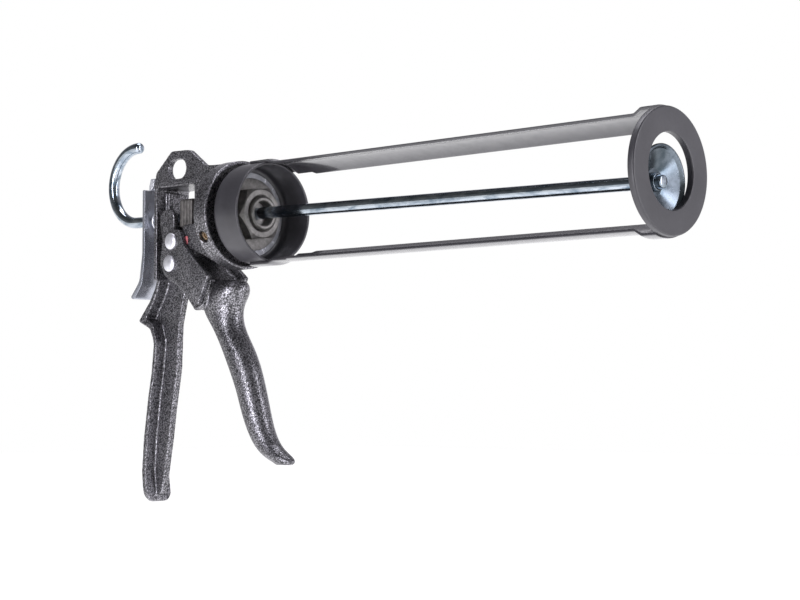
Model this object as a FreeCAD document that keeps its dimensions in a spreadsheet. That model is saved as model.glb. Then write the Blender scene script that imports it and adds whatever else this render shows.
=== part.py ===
import FreeCAD, Part
import Sketcher
import math
import os

# Caulking gun for long sealant cartridges. Millimetres, +X to the muzzle, +Z up.
# X = 0 is the mouth plane of the cartridge cup. The push rod droops slightly to the muzzle.

SIZES = {
    "cupRadius": 27.5,        # outside of the cartridge cup
    "sheetThickness": 1.5,    # pressed steel of cup and straps
    "cupLength": 20.0,
    "bayLength": 258.0,       # cup mouth to front of the nozzle ring
    "ringThickness": 3.4,
    "nozzleHoleRadius": 17.6,
    "rodRadius": 3.25,
    "rodDroop": 1.0,          # degrees
    "rodRear": 117.0,         # where the hook bend starts, behind the mouth
    "hookRadius": 22.0,
    "runningGap": 0.06,       # radial gap of the turning and sliding fits
    "bodyHalfWidth": 12.0,
    "wallThickness": 2.5,
    "lugHalfWidth": 1.7,
    "bushRadius": 10.0,
    "nutHalfAcross": 13.5,
    "nutHeight": 7.5,
    "pinRadius": 3.0,
    "cheekThickness": 3.0,
    "cheekGap": 0.3,
    "armInner": 8.2,          # inner face of each trigger arm
    "armOuter": 11.5,
    "plateThickness": 2.5,
    "plateHalfWidth": 9.0,
    "handleHalfWidth": 9.0,
    "handleDrop": 160.0,      # axis to the bottom of the handle
    "discRadius": 17.2,
    "springWire": 0.7,
}

X_AXIS = FreeCAD.Vector(1, 0, 0)
Y_AXIS = FreeCAD.Vector(0, 1, 0)
Z_AXIS = FreeCAD.Vector(0, 0, 1)
ALONG_X = FreeCAD.Rotation(Y_AXIS, 90)
ALONG_NEAR = FreeCAD.Rotation(X_AXIS, 90)       # local Z points to -Y
CYCLE = FreeCAD.Rotation(FreeCAD.Vector(1, 1, 1), 120)   # local X, Y, Z to Y, Z, X

RUN_OUT = 40.0                # extra length of cutting tools that pass right through
STRAP_NEAR = 15.0             # strap edge angles from the vertical, degrees
STRAP_FAR = 36.5
NECK_TRIM = 3.5               # each strap edge is this many degrees narrower over the cup
PIVOT = (-67.6, -12.8)        # trigger pivot
LOWER_PIN = (-68.8, -25.2)
LOBE = (-76.1, -0.2)          # nose of each trigger arm
LOBE_RADIUS = 6.4
WINDOW_REAR = -84.2           # front face of the rear wall
LEG_REAR = -52.0              # rear face of the front leg
PLATE_STACK_REAR = -67.75
PLATE_COUNT = 4
PLATE_PLAY = 0.05             # air between two drive plates
FOOT_CORNER = 6.0             # rounding of the two bottom corners of the handle
NUT_TURN = 7.0                # degrees, how the nut happened to be tightened
RELEASE_FRONT = -98.0
DISC_FRONT = 254.0            # rim of the plunger plate, just behind the nozzle ring
ROD_FRONT = DISC_FRONT + 0.1
TAB_LIFT = 2.5                # how far the strap tabs stand out beside the ring

doc = FreeCAD.newDocument("caulking_gun")
sheet = doc.addObject("Spreadsheet::Sheet", "sizes")


def fillSheet():
    for row, (alias, value) in enumerate(SIZES.items(), start=1):
        sheet.set("A%d" % row, alias)
        sheet.set("B%d" % row, str(value))
        sheet.setAlias("B%d" % row, alias)
    doc.recompute()


def size(alias):
    return SIZES[alias]


def bind(thing, **rules):
    """Tie properties to the sheet; double underscores stand for dots."""
    for name, rule in rules.items():
        path = name.replace("__", ".")
        thing.setExpression(path, rule)
    return thing


def ex(rule):
    """Write every size name in a rule as a sheet reference."""
    for alias in sorted(SIZES, key=len, reverse=True):
        rule = rule.replace("<%s>" % alias, "sizes.%s" % alias)
    return rule


def rod(name, radius, length, start, rotation=ALONG_X, base=(0, 0, 0)):
    """Cylinder; along X its start is a rule for the X of its rear end."""
    shape = doc.addObject("Part::Cylinder", name)
    shape.Placement = FreeCAD.Placement(FreeCAD.Vector(*base), rotation)
    bind(shape, Radius=ex(radius), Height=ex(length))
    if start is not None:
        bind(shape, Placement__Base__x=ex(start))
    return shape


def box(name, xRules, yRules, zRules):
    """Box from a start rule and a length rule on each axis."""
    shape = doc.addObject("Part::Box", name)
    bind(shape, Length=ex(xRules[1]), Width=ex(yRules[1]), Height=ex(zRules[1]))
    bind(shape, Placement__Base__x=ex(xRules[0]))
    bind(shape, Placement__Base__y=ex(yRules[0]))
    bind(shape, Placement__Base__z=ex(zRules[0]))
    return shape


def cut(name, base, *tools):
    for number, tool in enumerate(tools):
        last = number == len(tools) - 1
        step = doc.addObject("Part::Cut", name if last else "%s_step%d" % (name, number))
        step.Base = base
        step.Tool = tool
        base = step
    return base


def fuse(name, *shapes):
    joined = doc.addObject("Part::MultiFuse", name)
    joined.Shapes = list(shapes)
    joined.Refine = True
    return joined


def roundEdges(name, base, radius, wanted):
    """Fillet the edges that the test picks."""
    doc.recompute()
    picked = []
    for number, edge in enumerate(base.Shape.Edges, start=1):
        if wanted(edge):
            picked.append((number, radius, radius))
    result = doc.addObject("Part::Fillet", name)
    result.Base = base
    result.Edges = picked
    return result


def isCircleX(edge, radius, x):
    """A full or part circle about the X direction, of this radius, at this X."""
    curve = edge.Curve
    if not isinstance(curve, Part.Circle):
        return False
    near = abs(curve.Radius - radius) < 0.01 and abs(curve.Center.x - x) < 0.01
    return near and abs(abs(curve.Axis.x) - 1) < 0.01


def droop(thing):
    """Tip a finished rod part down towards the muzzle about the cup mouth."""
    turn = FreeCAD.Rotation(Y_AXIS, size("rodDroop"))
    thing.Placement = FreeCAD.Placement(FreeCAD.Vector(0, 0, 0), turn)
    bind(thing, Placement__Rotation__Angle=ex("<rodDroop>"))
    return thing


def droopTool(tool):
    """Tip a cutting cylinder together with the rod."""
    holder = doc.addObject("Part::Compound", tool.Name + "_drooped")
    holder.Links = [tool]
    return droop(holder)


def roundedOutline(corners):
    """Closed outline from (x, z, corner radius) as lines and tangent arcs."""
    pieces = []
    count = len(corners)
    joints = []
    for number in range(count):
        before = FreeCAD.Vector(*corners[number - 1][:2], 0)
        here = FreeCAD.Vector(*corners[number][:2], 0)
        after = FreeCAD.Vector(*corners[(number + 1) % count][:2], 0)
        radius = corners[number][2]
        toBefore = (before - here).normalize()
        toAfter = (after - here).normalize()
        angle = toBefore.getAngle(toAfter)
        if radius <= 0 or abs(angle - math.pi) < 0.01:
            joints.append((here, here, None))
            continue
        back = radius / math.tan(angle / 2)
        start = here + toBefore * back
        end = here + toAfter * back
        middleWay = (toBefore + toAfter).normalize()
        centre = here + middleWay * (radius / math.sin(angle / 2))
        middle = centre - middleWay * radius
        joints.append((start, end, middle))
    for number in range(count):
        start, end, middle = joints[number]
        if middle is not None:
            pieces.append(Part.Arc(start, middle, end))
        following = joints[(number + 1) % count][0]
        if (following - end).Length > 0.001:
            pieces.append(Part.LineSegment(end, following))
    return pieces


def planeOf(body, role):
    for feature in body.Origin.OriginFeatures:
        if feature.Role == role:
            return feature
    return None


def sketchOn(body, name, role, outlines, offset=None):
    sketch = body.newObject("Sketcher::SketchObject", name)
    sketch.AttachmentSupport = [(planeOf(body, role), "")]
    sketch.MapMode = "FlatFace"
    for outline in outlines:
        sketch.addGeometry(outline, False)
    if offset is not None:
        sketch.setExpression("AttachmentOffset.Base.z", ex(offset))
    return sketch


def circle(centre, radius):
    where = FreeCAD.Vector(centre[0], centre[1], 0)
    return [Part.Circle(where, Z_AXIS, radius)]


def padBody(label, outlines, length, offset=None):
    """Plate in the XZ plane; with no offset it is centred on the plane of symmetry."""
    body = doc.addObject("PartDesign::Body", label)
    sketch = sketchOn(body, label + "_outline", "XZ_Plane", outlines, offset)
    pad = body.newObject("PartDesign::Pad", label + "_pad")
    pad.Profile = sketch
    if offset is None:
        pad.SideType = "Symmetric"
    pad.setExpression("Length", ex(length))
    return body


def turnBody(label, corners):
    """Solid of revolution about X from (x, radius, corner radius)."""
    body = doc.addObject("PartDesign::Body", label)
    sketch = sketchOn(body, label + "_section", "XZ_Plane", [roundedOutline(corners)])
    turned = body.newObject("PartDesign::Revolution", label + "_turn")
    turned.Profile = sketch
    turned.ReferenceAxis = (sketch, ["H_Axis"])
    turned.Angle = 360
    return body


def bothSides(name, outlines, inner, outer):
    """The same plate on the near and the far side."""
    thick = "(%s) - (%s)" % (outer, inner)
    near = padBody(name + "_near", outlines, thick, inner)
    far = padBody(name + "_far", outlines, thick, "-(%s)" % outer)
    return near, far


def down(fraction):
    """Height of a handle point as a fraction of the handle's drop."""
    return -fraction * size("handleDrop")


def makeCasting():
    """Pistol body: window frame, top lug, collar, handle with palm flange and web."""
    half = size("bodyHalfWidth")
    wall = size("wallThickness")
    rear = WINDOW_REAR - wall
    frameOutline = roundedOutline([
        (rear, 22.5, 2), (-60, 22.5, 0), (-42, 24, 3), (-32, 24, 0), (-31, -24, 0),
        (-36, -25.5, 2), (-43, -22, 1), (-55.5, -17.2, 1), (-57.5, -15.6, 0.5), (-61, -9, 1),
        (-61, -3.6, 1), (LEG_REAR, -3.6, 1), (LEG_REAR, 18.8, 1.5), (WINDOW_REAR, 18.8, 1.5),
        (WINDOW_REAR, -34, 0), (rear, -34, 0),
    ])
    frame = padBody("casting_frame", [frameOutline], "2 * <bodyHalfWidth>")
    boss = box("casting_boss", ("%f - 0.1" % WINDOW_REAR, "3.1"), ("-5.4", "10.8"), ("-14", "30.5"))
    lugOutline = roundedOutline([
        (-99.8, 20.2, 1), (-97.6, 29.5, 3), (-84, 41.2, 4), (-68.5, 40.6, 5), (-54.5, 30.4, 4),
        (-34, 29.5, 2), (-31, 22, 0), (-60, 19.5, 0),
    ])
    lug = padBody("casting_lug", [lugOutline], "2 * <lugHalfWidth>")
    flangeOutline = roundedOutline([
        (rear, -20, 0), (rear, -31, 4), (-89.1, down(0.236), 6), (-93.5, down(0.282), 6),
        (-103.8, down(0.354), 1.2), (-93.5, down(0.382), 5), (-89.9, down(0.43), 12),
        (-91.8, down(0.54), 30), (-94.4, down(0.619), 40), (-98.2, down(0.775), 60),
        (-99.7, down(0.894), 20), (-98.7, down(0.95), 8), (-97.0, down(1.0), 1.2),
        (-94.1, down(0.998), 1.2), (-95.5, down(0.95), 8), (-96.7, down(0.894), 20),
        (-95.3, down(0.775), 60), (-92.0, down(0.619), 40), (-89.5, down(0.54), 30),
        (-87.4, down(0.43), 10), (-91, down(0.366), 4), (-97, down(0.345), 0.8),
        (-91, down(0.29), 5), (-86.4, down(0.24), 6), (WINDOW_REAR, -30, 3), (WINDOW_REAR, -20, 0),
    ])
    flange = padBody("casting_flange", [flangeOutline], "2 * <handleHalfWidth>")
    webOutline = roundedOutline([
        (-84, -17.5, 0), (-72, -17.5, 0), (-63, -21, 2), (-64.5, -30, 4), (-71.2, down(0.256), 5),
        (-76.2, down(0.37), 20), (-77.2, down(0.53), 40), (-81.4, down(0.666), 60),
        (-84.0, down(0.775), 60), (-88.7, down(0.9325), 20), (-91, down(0.968), 3),
        (-96.2, down(0.982), 0), (-97.2, down(0.95), 0), (-98.2, down(0.894), 0),
        (-96.8, down(0.775), 0), (-93.2, down(0.619), 0), (-90.7, down(0.54), 0),
        (-88.7, down(0.43), 0), (-92.5, down(0.372), 0), (-99, down(0.35), 0),
        (-92.5, down(0.285), 0), (-88, down(0.24), 0), (-85.5, -30, 0),
    ])
    web = padBody("casting_web", [webOutline], "4")
    bossWidth = "2 * (<armInner> - <cheekGap>)"
    bossSide = size("armInner") - size("cheekGap")
    bossRound = rod("casting_pivot_boss", "6.6", bossWidth, None, ALONG_NEAR,
                    (PIVOT[0], bossSide, PIVOT[1]))
    bossArm = padBody("casting_pivot_arm", [roundedOutline([
        (-74.5, -11, 0), (-61, -10, 0), (-60, -19.5, 1), (-63.5, -24, 2), (-75, -24, 0)])], bossWidth)
    bossTie = padBody("casting_tie", [roundedOutline([
        (-63, -8, 0), (-50, -8, 0), (-50, -18.5, 0), (-63, -15.5, 0)])], bossWidth)
    collar = turnBody("casting_collar", [
        (-44, 0, 0), (-44, 15, 4), (-34, 27, 3), (-31.5, 30, 1), (-22, 30, 0.8), (-22, 28, 0.5),
        (-26, 26.5, 2), (-27, 15, 2), (-20.1, 14, 0.8), (-20.1, 0, 0),
    ])
    solid = fuse("casting_solid", frame, boss, lug, flange, web, bossRound, bossArm, bossTie, collar)
    hangHole = padBody("hang_hole_tool", [roundedOutline([
        (-86.3, 36, 5.4), (-71.3, 36, 5.4), (-71.3, 24.8, 5.4), (-86.3, 24.8, 5.4)])], "%f" % RUN_OUT)
    cavity = box("cavity_tool", ("-61.5", "13.5"), ("-<plateHalfWidth> - 0.6", "2 * <plateHalfWidth> + 1.2"),
                 ("-8", "21"))
    pocket = rod("spring_pocket_tool", "8", "14", "-52")
    bushHole = rod("bush_hole_tool", "<bushRadius>", "%f" % RUN_OUT, "-38.1")
    rearHole = droopTool(rod("rear_hole_tool", "<rodRadius> + <runningGap>", "%f" % RUN_OUT, "-100"))
    pivotHole = rod("pivot_hole_tool", "<pinRadius> + <runningGap>", "%f" % RUN_OUT, None, ALONG_NEAR,
                    (PIVOT[0], RUN_OUT / 2, PIVOT[1]))
    screwHole = screwShape("screw_hole_tool", 3.3, 9, 26.0)
    corners = [footCorner("near", -1), footCorner("far", 1)]
    stopPocket = box("stop_pocket_tool", ("-62", "4.6"), ("-%f - 1" % half, "3.5"), ("-15", "5"))
    body = cut("body_casting", solid, hangHole, cavity, pocket, bushHole, rearHole, pivotHole,
               screwHole, stopPocket, *corners)
    body.Label = "body_casting"
    return body


def footCorner(side, sign):
    """Tool that rounds one bottom corner of the palm flange."""
    centreY = sign * (size("handleHalfWidth") - FOOT_CORNER)
    bottom = -size("handleDrop")
    startY = centreY if sign > 0 else centreY - FOOT_CORNER - 1
    block = box("foot_block_" + side, ("-110", "30"), (str(startY), "%f + 1" % FOOT_CORNER),
                ("%f - 1" % bottom, "%f + 1" % FOOT_CORNER))
    keep = rod("foot_round_" + side, str(FOOT_CORNER), "50", "-120", ALONG_X,
               (0, centreY, bottom + FOOT_CORNER))
    return cut("foot_corner_" + side, block, keep)


def screwShape(name, radius, length, fromAxis):
    """Radial cylinder on the near lower side of the collar."""
    angle = math.radians(27)
    outward = FreeCAD.Vector(0, -math.cos(angle), -math.sin(angle))
    shape = doc.addObject("Part::Cylinder", name)
    turn = FreeCAD.Rotation(Z_AXIS, outward)
    base = outward * fromAxis + X_AXIS * -27.4
    shape.Placement = FreeCAD.Placement(base, turn)
    shape.Radius = radius
    shape.Height = length
    return shape


def makeLockScrew():
    head = screwShape("screw_head", 2.9, 2.2, 26.0)
    slot = screwShape("screw_socket", 1.3, 2, 27.2)
    return cut("lock_screw", head, slot)


def makeNoseBush():
    """Threaded nose that clamps the cup; bored in line with the rod."""
    outside = rod("bush_outside", "<bushRadius>", "30.8", "-38.1")
    neck = cut("bush_neck", outside, cut("bush_neck_tool", rod("bush_ring", "14", "10.8", "-18"),
               rod("bush_core", "<bushRadius> - 0.8", "30", "-30")))
    mouth = rod("bush_mouth", "6.7", "20", "-14")
    bore = droopTool(rod("bush_bore", "<rodRadius> + <runningGap>", "60", "-50"))
    return cut("nose_bush", neck, mouth, bore)


def makeNut():
    prism = doc.addObject("Part::Prism", "nut_prism")
    prism.Polygon = 6
    turn = CYCLE.multiply(FreeCAD.Rotation(Z_AXIS, NUT_TURN))
    prism.Placement = FreeCAD.Placement(FreeCAD.Vector(0, 0, 0), turn)
    bind(prism, Circumradius=ex("<nutHalfAcross> / cos(30)"), Height=ex("<nutHeight>"))
    bind(prism, Placement__Base__x=ex("%s" % nutRear()))
    hole = rod("nut_hole", "<bushRadius> - 0.8", "30", "-25")
    return cut("hex_nut", prism, hole)


def cupFloor():
    return "-<cupLength> + <sheetThickness>"


def nutRear():
    """Front face of the two washers between cup and nut."""
    return cupFloor() + " + 1.9"


def makeWasher(label, radius, thickness, lift):
    """Flat washer round the nose, so far above the floor of the cup."""
    ring = rod(label + "_ring", radius, thickness, "%s + %s" % (cupFloor(), lift))
    hole = rod(label + "_hole", "<bushRadius> + 0.02", "30", "-30")
    return cut(label, ring, hole)


def makeCup():
    """Deep drawn cup that holds the foot of the cartridge."""
    outside = rod("cup_outside", "<cupRadius>", "<cupLength>", "-<cupLength>")
    rounded = roundEdges("cup_rounded", outside, 4.0,
                         lambda edge: isCircleX(edge, size("cupRadius"), -size("cupLength")))
    inside = rod("cup_inside", "<cupRadius> - <sheetThickness>", "%f" % RUN_OUT, cupFloor())
    insideRounded = roundEdges("cup_inside_rounded", inside, 2.6, lambda edge: isCircleX(
        edge, size("cupRadius") - size("sheetThickness"), size("sheetThickness") - size("cupLength")))
    hole = rod("cup_hole", "<bushRadius> + <runningGap>", "%f" % RUN_OUT, "-30")
    return cut("cup", rounded, insideRounded, hole)


def curvedStrip(name, inner, outer, length, start, firstAngle, span, frontExtra=None):
    """Part of a tube or of a cone wall about X, between two angles from +Y to +Z."""
    kind = "Part::Cylinder" if frontExtra is None else "Part::Cone"
    walls = []
    for suffix, radius in (("outer", outer), ("inner", inner)):
        wall = doc.addObject(kind, "%s_%s" % (name, suffix))
        around = span if suffix == "outer" else 360
        wall.Angle = around
        turn = CYCLE.multiply(FreeCAD.Rotation(Z_AXIS, firstAngle))
        wall.Placement = FreeCAD.Placement(FreeCAD.Vector(0, 0, 0), turn)
        if frontExtra is None:
            bind(wall, Radius=ex(radius))
        else:
            bind(wall, Radius1=ex(radius), Radius2=ex("%s + %s" % (radius, frontExtra)))
        bind(wall, Height=ex(length), Placement__Base__x=ex(start))
        walls.append(wall)
    return cut(name, walls[0], walls[1])


def makeStrap(label, firstAngle):
    """Curved strap: tail over the cup, joggle, long span, joggle, tab over the ring."""
    span = STRAP_NEAR + STRAP_FAR
    inner = "<cupRadius> - <sheetThickness>"
    outer = "<cupRadius>"
    thick = "<sheetThickness>"
    neckStart = firstAngle + NECK_TRIM
    neckSpan = span - 2 * NECK_TRIM
    tail = curvedStrip(label + "_tail", outer + " + 0.02", outer + " + " + thick, "15", "-14",
                       neckStart, neckSpan)
    step = curvedStrip(label + "_step", outer + " + 0.02", outer + " + " + thick, "4", "1",
                       neckStart, neckSpan, "-<sheetThickness>")
    neck = curvedStrip(label + "_neck", inner, outer, "12", "5", neckStart, neckSpan)
    main = curvedStrip(label + "_main", inner, outer, "<bayLength> - 32", "16", firstAngle, span)
    rise = curvedStrip(label + "_rise", inner, outer, "5", "<bayLength> - 16", firstAngle, span,
                       str(TAB_LIFT))
    tab = curvedStrip(label + "_tab", "%s + %f" % (inner, TAB_LIFT), "%s + %f" % (outer, TAB_LIFT),
                      "11 - <ringThickness>", "<bayLength> - 11", firstAngle, span)
    strap = fuse(label, tail, step, neck, main, rise, tab)
    return strap


def makeRing():
    """Flat nozzle ring in front of the strap tabs."""
    radius = "<cupRadius> + %f" % TAB_LIFT
    disc = rod("ring_disc", radius, "<ringThickness>", "<bayLength> - <ringThickness>")
    hole = rod("ring_hole", "<nozzleHoleRadius>", "%f" % RUN_OUT, "<bayLength> - 20")
    plain = cut("ring_plain", disc, hole)
    ringRadius = size("cupRadius") + TAB_LIFT
    front = size("bayLength")
    return roundEdges("front_ring", plain, 0.7, lambda edge: isCircleX(edge, ringRadius, front)
                      or isCircleX(edge, size("nozzleHoleRadius"), front))


def makeRod():
    """Push rod with its hooked rear end, one bent length of bright bar."""
    body = doc.addObject("PartDesign::Body", "rod_bar")
    rear = -size("rodRear")
    top = 2 * size("hookRadius")
    muzzle = FreeCAD.Vector(ROD_FRONT, 0, 0)
    bendStart = FreeCAD.Vector(rear, 0, 0)
    bendBack = FreeCAD.Vector(rear - size("hookRadius"), size("hookRadius"), 0)
    bendEnd = FreeCAD.Vector(rear, top, 0)
    tip = FreeCAD.Vector(rear + 3, top, 0)
    path = [Part.LineSegment(muzzle, bendStart), Part.Arc(bendStart, bendBack, bendEnd),
            Part.LineSegment(bendEnd, tip)]
    spine = sketchOn(body, "rod_path", "XZ_Plane", [path])
    section = sketchOn(body, "rod_section", "YZ_Plane", [circle((0, 0), size("rodRadius"))],
                       "%f" % (ROD_FRONT))
    section.addConstraint(Sketcher.Constraint("Coincident", 0, 3, -1, 1))
    section.addConstraint(Sketcher.Constraint("Radius", 0, size("rodRadius")))
    section.setExpression("Constraints[1]", ex("<rodRadius>"))
    pipe = body.newObject("PartDesign::AdditivePipe", "rod_pipe")
    pipe.Profile = section
    pipe.Spine = spine
    tipX = rear + 3
    return droop(roundEdges("rod", body, 2.2, lambda edge: isCircleX(edge, size("rodRadius"), tipX)))


def makePlungerDisc():
    """Dished pressing that pushes the cartridge piston, hollow side forward."""
    radius = size("discRadius")
    hole = size("rodRadius") + 0.3
    rim = DISC_FRONT
    disc = turnBody("plunger_disc", [
        (rim - 7.2, hole, 0), (rim - 7.2, 6.5, 2), (rim - 2.4, radius - 1.2, 2),
        (rim - 1.6, radius, 0.5), (rim, radius, 0.3), (rim - 0.4, radius - 1.4, 0.8),
        (rim - 5.4, 6, 2), (rim - 5.4, hole, 0),
    ])
    return droop(disc)


def makePlungerCollar():
    """Riveted collar in front of the disc."""
    ring = rod("collar_ring", "<rodRadius> + 1.1", "2.4", "%f" % (DISC_FRONT - 5.3))
    hole = rod("collar_hole", "<rodRadius> + <runningGap>", "20", "%f" % (DISC_FRONT - 15))
    return droop(cut("plunger_collar", ring, hole))


def makePlungerBacker():
    """Shouldered hub behind the disc."""
    flange = rod("backer_flange", "9", "1.6", "%f" % (DISC_FRONT - 8.9))
    hub = rod("backer_hub", "5.5", "5", "%f" % (DISC_FRONT - 13.5))
    hole = rod("backer_hole", "<rodRadius> + <runningGap>", "40", "%f" % (DISC_FRONT - 30))
    return droop(cut("plunger_backer", fuse("backer_solid", flange, hub), hole))


def makeDrivePlate(label, rear):
    """Gripping plate that bites on the rod when the trigger arms push it."""
    slab = box(label + "_slab", (rear, "<plateThickness>"), ("-<plateHalfWidth>", "2 * <plateHalfWidth>"),
               ("-5.8", "16.2"))
    rounded = roundEdges(label + "_rounded", slab, 1.5, lambda edge: abs(edge.Length
                         - size("plateThickness")) < 0.01)
    hole = rod(label + "_hole", "<rodRadius> + <runningGap>", "%f" % RUN_OUT, "-90")
    return droop(cut(label, rounded, hole))


def helixSpring(label, coilRadius, length, start, turns):
    """Round wire helix about X."""
    wire = size("springWire")
    path = Part.makeHelix(length / turns, length, coilRadius)
    section = Part.Wire([Part.makeCircle(wire, FreeCAD.Vector(coilRadius, 0, 0), Y_AXIS)])
    coil = Part.Wire(path.Edges).makePipeShell([section], True, True)
    spring = doc.addObject("Part::Feature", label)
    spring.Shape = coil
    spring.Placement = FreeCAD.Placement(FreeCAD.Vector(start, 0, 0), ALONG_X)
    turn = FreeCAD.Rotation(Y_AXIS, size("rodDroop"))
    spring.Placement = FreeCAD.Placement(FreeCAD.Vector(0, 0, 0), turn).multiply(spring.Placement)
    return spring


def makeReleasePlate():
    """Spring loaded brake plate behind the body, bent back to a thumb tab."""
    rear = RELEASE_FRONT - 2.2
    outline = roundedOutline([
        (RELEASE_FRONT, 19.2, 0.5), (RELEASE_FRONT, -17.5, 4), (-100.2, -35, 8), (-107.5, -44, 2),
        (-110.5, -42.6, 1), (-102.6, -33.5, 10), (rear, -17.5, 6), (rear, 19.2, 0.5),
    ])
    plate = padBody("release_bent", [outline], "19")
    hole = droopTool(rod("release_hole", "<rodRadius> + 0.5", "%f" % RUN_OUT, "-120"))
    return cut("release_plate", plate, hole)


def makeReleaseClip():
    """Hook on the lug that traps the top of the brake plate."""
    outline = roundedOutline([
        (-99.39, 22, 0), (-98.33, 26.5, 0), (-101.6, 26.5, 1), (-102.9, 22, 2), (-102.9, 12.5, 0.8),
        (-101.1, 12.5, 0.6), (-101.1, 20.4, 0.8), (-99.9, 20.9, 0.2),
    ])
    return padBody("release_clip", [outline], "5")


def armOutline():
    """Side of a trigger arm: nose, pivot and the run down to the grip."""
    return roundedOutline([
        (LOBE[0] - LOBE_RADIUS, LOBE[1] + LOBE_RADIUS, 5.5),
        (LOBE[0] + LOBE_RADIUS, LOBE[1] + LOBE_RADIUS, 5.5), (LOBE[0] + LOBE_RADIUS, -5.4, 1),
        (-66, -8, 2), (-61.9, -9.4, 2), (-61.7, -17, 3), (-57, -20.5, 1), (-41, -33.5, 1),
        (-44, -49, 2), (-51, -52.5, 2), (-60, -42.5, 6), (-74.5, -32, 4), (-78, -20, 8), (-82, -2, 2),
    ])


def makeTrigger():
    """Trigger casting: two arms that straddle the body, a front web and the grip."""
    outline = armOutline()
    near, far = bothSides("trigger_arm", [outline], "<armInner>", "<armOuter>")
    webOutline = roundedOutline([
        (-56.5, -21, 0), (-43.5, -31.8, 1), (-40.2, -35.5, 2), (-43.5, -48.5, 2), (-52, -52.3, 2),
        (-54.5, -47.5, 3), (-47, -37, 3), (-57.5, -25, 1),
    ])
    web = padBody("trigger_web", [webOutline], "2 * <armOuter> - 3")
    grip = doc.addObject("PartDesign::Body", "trigger_loft")
    sections = [
        (-35.7, -35.0, 8.5, 5.0), (-37.2, -34.6, 11.4, 7.6), (-40.5, -34.8, 12.6, 9.4),
        (-49.5, -39.6, 13.6, 9.4),
        (-60, -36.7, 10.3, 8.7), (-74.3, -27.7, 9.9, 8.4), (-85.4, -21.9, 9.7, 8.3),
        (-97.5, -16.9, 8.9, 8.0), (-108.9, -13.0, 8.6, 7.6), (-119.7, -8.3, 8.2, 7.0),
        (-128.3, -1.5, 8.6, 6.4), (-134.0, 7.0, 8.8, 5.0), (-136.6, 9.0, 5.5, 3.0),
    ]
    sketches = []
    for number, (z, x, alongX, alongY) in enumerate(sections):
        centre = FreeCAD.Vector(x, 0, 0)
        ellipse = Part.Ellipse(centre + X_AXIS * alongX, centre + Y_AXIS * alongY, centre)
        sketches.append(sketchOn(grip, "grip_section%d" % number, "XY_Plane", [[ellipse]], str(z)))
    loft = grip.newObject("PartDesign::AdditiveLoft", "grip_loft")
    loft.Profile = sketches[0]
    loft.Sections = sketches[1:]
    solid = fuse("trigger_solid", near, far, web, grip)
    pivotHole = rod("trigger_pivot_tool", "<pinRadius>", "60", None, ALONG_NEAR,
                    (PIVOT[0], 30, PIVOT[1]))
    lowerHole = rod("trigger_pin_tool", "<pinRadius>", "60", None, ALONG_NEAR,
                    (LOWER_PIN[0], 30, LOWER_PIN[1]))
    return cut("trigger_grip", solid, pivotHole, lowerHole)


def cheekOutlines():
    outline = roundedOutline([
        (-74.5, -10, 4), (-68.5, -6, 5), (-60.5, -6.5, 5), (-57.3, -15.5, 8), (-50, -22.5, 8),
        (-36.4, -33.5, 1.2), (-44.8, -49.5, 1.2), (-57, -41, 12), (-73, -32, 6), (-77.5, -24, 6),
    ])
    return [outline, circle(PIVOT, size("pinRadius")), circle(LOWER_PIN, size("pinRadius"))]


def makeCheeks():
    inner = "<bodyHalfWidth> + <cheekGap>"
    outer = "<bodyHalfWidth> + <cheekGap> + <cheekThickness>"
    near, far = bothSides("cheek", cheekOutlines(), inner, outer)
    spacers = []
    for side, sign in (("near", -1), ("far", 1)):
        spacers.append(makeSpacer(side, sign))
    return near, far, spacers


def makeSpacer(side, sign):
    """Washer between arm and cheek on the lower rivet."""
    gap = size("bodyHalfWidth") + size("cheekGap") - size("armOuter")
    start = size("armOuter") if sign > 0 else -size("armOuter") - gap
    base = (LOWER_PIN[0], start + gap, LOWER_PIN[1])
    disc = rod("spacer_%s_disc" % side, "6", "<bodyHalfWidth> + <cheekGap> - <armOuter>", None,
               ALONG_NEAR, base)
    hole = rod("spacer_%s_hole" % side, "<pinRadius>", "60", None, ALONG_NEAR,
               (LOWER_PIN[0], 30, LOWER_PIN[1]))
    return cut("arm_spacer_%s" % side, disc, hole)


def domedHead(name, centre, sign):
    """Domed rivet head lying on the outside of a cheek."""
    outside = size("bodyHalfWidth") + size("cheekGap") + size("cheekThickness")
    ball = doc.addObject("Part::Sphere", name + "_ball")
    ball.Radius = 6.5
    ball.Placement.Base = FreeCAD.Vector(centre[0], sign * (outside - 4.5), centre[1])
    start = outside if sign > 0 else -outside - 10
    keep = box(name + "_keep", (str(centre[0] - 10), "20"), (str(start), "10"),
               (str(centre[1] - 10), "20"))
    head = doc.addObject("Part::Common", name)
    head.Base = ball
    head.Tool = keep
    return head


def makePivotRivet():
    """Trigger pivot: right across the body, with a head outside each cheek."""
    reach = "<bodyHalfWidth> + <cheekGap> + <cheekThickness>"
    outside = size("bodyHalfWidth") + size("cheekGap") + size("cheekThickness")
    shank = rod("pivot_shank", "<pinRadius>", "2 * (%s)" % reach, None, ALONG_NEAR,
                (PIVOT[0], outside, PIVOT[1]))
    return fuse("pivot_rivet", shank, domedHead("pivot_head_near", PIVOT, -1),
                domedHead("pivot_head_far", PIVOT, 1))


def makeLowerRivet(side, sign):
    """Short rivet that holds one cheek on its trigger arm."""
    reach = "<bodyHalfWidth> + <cheekGap> + <cheekThickness> - <armInner>"
    start = size("bodyHalfWidth") + size("cheekGap") + size("cheekThickness")
    if sign < 0:
        start = -size("armInner")
    shank = rod("lower_shank_" + side, "<pinRadius>", reach, None, ALONG_NEAR,
                (LOWER_PIN[0], start, LOWER_PIN[1]))
    return fuse("lower_rivet_" + side, shank, domedHead("lower_head_" + side, LOWER_PIN, sign))


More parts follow.
